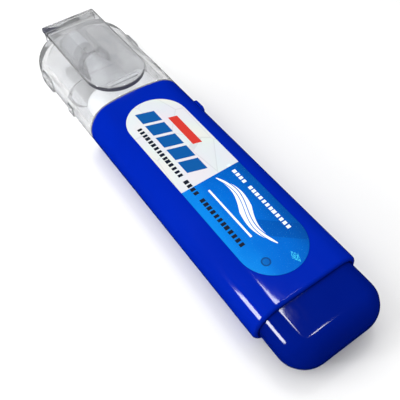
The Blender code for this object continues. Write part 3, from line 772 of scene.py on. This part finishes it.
def makeHolder():
    h = holder
    face = station(sleeve["mouth"]) - tail["gap"]
    back, collarEnd, noseEnd = face - h["flange"], station(h["collarEnd"]), station(h["noseEnd"])
    flange = sectionInside()
    collar = (h["collarWidth"], h["collarThickness"], h["collarThickness"] / 2)
    rings = [(back, *flange), (face, *flange), (face, *collar), (collarEnd, *collar)]
    shape = bridged(rings, {1: h["flangeEdge"], 3: h["ease"]}, steps=14, spans=12)
    item = meshed("frontHolder", bowed(shape, face, h["flange"], collarEnd - face))
    nose = filleted([(collarEnd - 2 * mm, 0.0), (collarEnd - 2 * mm, h["noseRadius"]),
                     (noseEnd, h["noseRadius"]), (noseEnd, 0.0)], {2: 0.5 * mm})
    joined(item, spun(nose), "UNION")
    end, radius, chamfer = back - h["plug"], h["plugRadius"], h["plugChamfer"]
    groove = radius - h["grooveDepth"]
    grooveBack, grooveFront = back - h["grooveBack"], back - h["grooveFront"]
    plug = [(end, 0.0), (end, radius - chamfer), (end + chamfer, radius), (grooveBack, radius),
            (grooveBack, groove), (grooveFront, groove), (grooveFront, radius), (back + 0.5 * mm, radius),
            (back + 0.5 * mm, 0.0)]
    joined(item, spun(plug), "UNION")
    socket = noseEnd - h["socketDepth"]
    bore = [(end - mm, 0.0), (end - mm, h["bore"]), (socket, h["bore"]), (socket, h["socketRadius"]),
            (noseEnd + mm, h["socketRadius"]), (noseEnd + mm, 0.0)]
    joined(item, spun(bore), "DIFFERENCE")
    finished(item, "holder", "barrel", "front_holder")


cone = {
    "radius": 3.5 * mm, "chamber": 1.5 * mm, "end": 104.5 * mm, "endRadius": 1.3 * mm, "seat": 101.2 * mm,
    "band": 1.55 * mm, "lift": 0.2 * mm, "fine": 0.1 * mm,
}
pipe = {
    "radius": 0.6 * mm, "bore": 0.42 * mm, "end": 108.6 * mm, "flangeRadius": 1.3 * mm, "flange": 0.6 * mm,
}


def makeCone():
    base, end, seat = station(holder["noseEnd"]) + cone["lift"], station(cone["end"]), station(cone["seat"])
    back = station(holder["noseEnd"]) - holder["socketDepth"] + tail["gap"]
    stem, radius = holder["socketRadius"] - tail["gap"], cone["radius"]
    hole = pipe["radius"] + cone["fine"]
    profile = [(back, cone["chamber"]), (back, stem), (base, stem), (base, radius),
               (base + cone["band"], radius), (end, cone["endRadius"]), (end, hole), (seat, hole),
               (seat, cone["chamber"])]
    profile = filleted(profile, {1: 0.2 * mm, 3: 0.15 * mm, 4: 0.5 * mm, 5: 0.3 * mm})
    item = meshed("coneTip", spun(profile, closed=True))
    finished(item, "cone", "barrel", "tip_holder")


def makePipe():
    front, end = station(cone["seat"]) - cone["fine"], station(pipe["end"])
    back, radius = front - pipe["flange"], pipe["radius"]
    profile = [(back, pipe["bore"]), (back, pipe["flangeRadius"]), (front, pipe["flangeRadius"]),
               (front, radius), (end, radius), (end, pipe["bore"])]
    profile = filleted(profile, {1: 0.08 * mm, 2: 0.08 * mm, 4: 0.14 * mm})
    item = meshed("needlePipe", spun(profile, closed=True, sides=48))
    finished(item, "pipe", "barrel", "tip_pipe")


rod = {"radius": 0.25 * mm, "proud": 0.15 * mm, "start": 92.0 * mm}


def makeRod():
    start, end = station(rod["start"]), station(pipe["end"]) + rod["proud"]
    profile = filleted([(start, 0.0), (start, rod["radius"]), (end, rod["radius"]), (end, 0.0)],
                       {1: 0.05 * mm, 2: 0.15 * mm})
    item = meshed("valveRod", spun(profile, sides=32))
    finished(item, "rod", "valve", "valve_rod")


makeHolder()
makeCone()
makePipe()
makeRod()


# Cap

def makeCap():
    tip, mouth, step = cadHigh.y, station(sleeve["mouth"]) + tail["gap"], station(cap["step"])
    wall, radius = cap["wall"], sideRadius - cap["wall"]
    wide = (bodyWidth - 2.2 * wall, bodyThickness - 2 * wall)
    narrow = (wide[0] - 2.0 * mm, wide[1] - 0.4 * mm)
    full = (bodyWidth, bodyThickness, sideRadius)
    rings = roundedEnd(tip - cap["endWall"], -1, *narrow, radius, cap["innerCorner"], cap["innerEdge"],
                       steps=12)
    rings += [(step, *narrow, radius), (step, *wide, radius), (mouth, *wide, radius), (mouth, *full)]
    rounds = {len(rings) - 4: 0.15 * mm, len(rings) - 3: 0.15 * mm, len(rings) - 1: cap["rim"]}
    rings += reversed(roundedEnd(tip, -1, *full, cap["corner"], cap["edge"], steps=18))
    shape = bridged(rings, rounds, steps=14, spans=12)
    item = makeClip()
    joined(item, bowed(shape, mouth, mm, step - mouth), "UNION")
    for side in (-1, 1):
        for block in capBlocks.values():
            joined(item, blockOnSide(side, *block), "UNION")
    start, innerFace = station(cap["tubeStart"]), tip - cap["endWall"]
    end, floor, outer, bore = innerFace + mm, innerFace - 0.2 * mm, cap["tubeRadius"], cap["tubeBore"]
    tube = filleted([(start, 0.0), (start, outer), (end, outer), (end, 0.0)], {1: 0.3 * mm})
    joined(item, spun(tube), "UNION")
    hollow = [(start - mm, 0.0), (start - mm, bore), (floor, bore), (floor, 0.0)]
    joined(item, spun(hollow), "DIFFERENCE")
    finished(item, "cap", "cap", "cap_shell")


def makeClip():
    # plate with a round tongue, square at the tip, where its riser stands on the cap's end
    tip, tongue, width = station(clip["tip"]), station(clip["tongue"]), clip["width"]
    low = bodyThickness / 2 + clip["gap"]
    high = low + clip["thickness"]
    plate = bmesh.new()
    corners = bmesh.ops.create_grid(plate, x_segments=1, y_segments=1, size=0.5)["verts"]
    bmesh.ops.scale(plate, vec=(width, tip - tongue, 1.0), verts=corners)
    bmesh.ops.translate(plate, verts=corners, vec=(0, (tip + tongue) / 2, low))
    tongueCorners = [v for v in corners if v.co.y < (tip + tongue) / 2]
    bmesh.ops.bevel(plate, geom=tongueCorners, offset=0.49 * width, segments=28, profile=0.5,
                    affect="VERTICES", material=-1)
    tipCorners = [v for v in plate.verts if v.co.y > tip - 0.1 * mm]
    bmesh.ops.bevel(plate, geom=tipCorners, offset=0.4 * mm, segments=4, profile=0.5, affect="VERTICES",
                    material=-1)
    item = meshed("capShell", thickened(plate, high - low, clip["edge"], segments=4))
    bead = pill(station(clip["bead"]), low - clip["gap"] / 2, low + 0.3 * clip["thickness"],
                *clip["beadSize"], 6)
    joined(item, bead, "UNION")
    riser = pill(tip - clip["riser"] / 2 - 0.15 * mm, 0.5 * mm, low + clip["thickness"] / 2,
                 width - 0.6 * mm, clip["riser"] - 0.3 * mm, 0.3 * mm, 4)
    joined(item, riser, "UNION")
    return item


innerCap = {"start": 106.3 * mm, "gap": 0.3 * mm, "funnel": 0.8 * mm, "flare": 0.6 * mm}


def makeInnerCap():
    gap = innerCap["gap"]
    back, end = station(innerCap["start"]), cadHigh.y - cap["endWall"] - 2 * gap
    cupEnd, outer = station(pipe["end"]) + rod["proud"] + gap, cap["tubeBore"] - gap
    mouth = pipe["radius"] + gap
    profile = [(cupEnd, 0.0), (cupEnd, mouth), (back + innerCap["funnel"], mouth),
               (back, mouth + innerCap["flare"]), (back, outer), (end, outer), (end, 0.0)]
    profile = filleted(profile, {4: 0.4 * mm, 5: 0.3 * mm})
    item = meshed("innerCap", spun(profile))
    finished(item, "innerCap", "cap", "inner_cap")


spring = {
    "turns": 7, "wire": 0.14 * mm, "coilRadius": 0.95 * mm, "endPitch": 0.45, "stepsPerTurn": 24,
    "travel": 0.5 * mm,                           # how much shorter it gets at the valve's limit
}


def makeSpring():
    # coil with closer end turns; it rides with the barrel, so its back end stays as the valve is pushed in
    low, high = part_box("valve_spring")
    wire, steps, endPitch = spring["wire"], spring["stepsPerTurn"], spring["endPitch"]
    middleTurns = spring["turns"] - 2
    pitch = (high.y - low.y - 2 * wire) / (middleTurns + 2 * endPitch)
    bm = bmesh.new()
    ring = bmesh.ops.create_circle(bm, segments=12, radius=wire)["verts"]
    bmesh.ops.translate(bm, verts=ring, vec=(spring["coilRadius"], low.y + wire, 0))
    last = list(bm.verts) + list(bm.edges)
    for turns, share in ((1, endPitch), (middleTurns, 1), (1, endPitch)):
        coil = bmesh.ops.spin(bm, geom=last, cent=(0, 0, 0), axis=(0, -1, 0), angle=2 * math.pi * turns,
                              steps=steps * turns, dvec=(0, pitch * share / steps, 0))
        last = coil["geom_last"]
    bmesh.ops.holes_fill(bm, edges=[edge for edge in bm.edges if edge.is_boundary])
    bmesh.ops.recalc_face_normals(bm, faces=bm.faces)
    item = meshed("valveSpring", bm)
    finished(item, "spring", "barrel", "valve_spring")
    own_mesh(item)


makeCap()
makeInnerCap()
makeSpring()

keptNodes = {
    "inner_bottle": "bottle", "stirring_ball": "ball", "holder_packing": "packing",
    "spring_receiver": "receiver", "rod_collar": "collar",
}
for node, finish in keptNodes.items():
    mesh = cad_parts[node].data
    mesh.materials.clear()
    mesh.materials.append(finishes[finish])
print("kept CAD nodes painted:", len(keptNodes))


# Stage

studio = {
    # the sky and the floor are left out of mirror-like reflections
    "sky": 0.55, "floor": ((0.90, 0.90, 0.90), (0.92, 0.92, 0.92)),
}
lamps = {
    # where it shines from, how far away, width and height in metres, watts, whether glossy faces mirror it,
    # and the point it faces, from the pen's middle
    "keyLamp": ((0.269, 0.277, 0.922), 0.45, (0.05, 0.05), 0.15, True, (-7.8 * mm, -46 * mm, 5.7 * mm)),
    "leftLamp": ((-0.90, 0.26, 0.33), 0.30, (0.05, 0.08), 0.26, True, (-10 * mm, -40 * mm, 0)),
    "endLamp": ((0.381, 0.131, 0.916), 0.45, (0.014, 0.025), 0.022, True, (-5.3 * mm, -53 * mm, 5 * mm)),
    "topLamp": ((0.30, 0.25, 1.0), 0.6, (0.9, 0.9), 2.2, False, (0, 0, 0)),
    "nearLamp": ((-0.75, 0.1, 0.65), 0.17, (0.12, 0.12), 0.13, False, (0, 0, 0)),
}
view = {
    "azimuth": -33.83, "elevation": 53.13, "roll": -1.61,
    "distance": 121.85 * mm, "target": (-3.73 * mm, -13.75 * mm, 7.5 * mm), "lens": 48.3,
}


def makeFloor():
    bm = bmesh.new()
    bmesh.ops.create_grid(bm, x_segments=1, y_segments=1, size=1.5)
    floor = meshed("floor", bm, lift=False)
    paint = Paint("floorWhite")
    grain = paint.noise(40 * mm)
    dark, light = studio["floor"]
    paint.set(baseColor=paint.mix(grain, colour(*dark), colour(*light)), roughness=0.7, specular=0.1)
    floor.data.materials.append(paint.material)
    floor.visible_glossy = False


def makeLamp(name, direction, distance, size, watts, mirrored, about):
    centre = Vector((0, (cadLow.y + cadHigh.y) / 2, axisHeight)) + Vector(about)
    data = bpy.data.lights.new(name, "AREA")
    data.shape = "RECTANGLE"
    data.size, data.size_y = size
    data.energy = watts
    lamp = bpy.data.objects.new(name, data)
    away = Vector(direction).normalized()
    lamp.location = centre + away * distance
    lamp.rotation_mode = "QUATERNION"
    lamp.rotation_quaternion = away.to_track_quat("Z", "Y")
    lamp.visible_glossy = mirrored
    bpy.context.scene.collection.objects.link(lamp)


def makeSky():
    world = bpy.data.worlds.new("studio")
    world.use_nodes = True
    sky = studio["sky"]
    world.node_tree.nodes["Background"].inputs["Color"].default_value = colour(sky, sky, sky)
    world.cycles_visibility.glossy = False
    bpy.context.scene.world = world


def makeCamera():
    azimuth, elevation, roll = (math.radians(view[angle]) for angle in ("azimuth", "elevation", "roll"))
    back = Vector((math.sin(azimuth) * math.cos(elevation), -math.cos(azimuth) * math.cos(elevation),
                   math.sin(elevation)))
    data = bpy.data.cameras.new("camera")
    data.lens, data.sensor_width = view["lens"], 36.0
    data.clip_start, data.clip_end = 0.005, 10.0
    camera = bpy.data.objects.new("camera", data)
    camera.location = Vector(view["target"]) + back * view["distance"]
    right = Vector((math.cos(azimuth), math.sin(azimuth), 0.0))
    up = back.cross(right)
    turned = right * math.cos(roll) + up * math.sin(roll)
    camera.rotation_euler = Matrix((turned, back.cross(turned), back)).transposed().to_euler()
    bpy.context.scene.collection.objects.link(camera)
    bpy.context.scene.camera = camera


makeFloor()
makeSky()
for name, lamp in lamps.items():
    makeLamp(name, *lamp)
makeCamera()
bpy.context.scene.view_settings.view_transform = "Standard"
print("stage set")
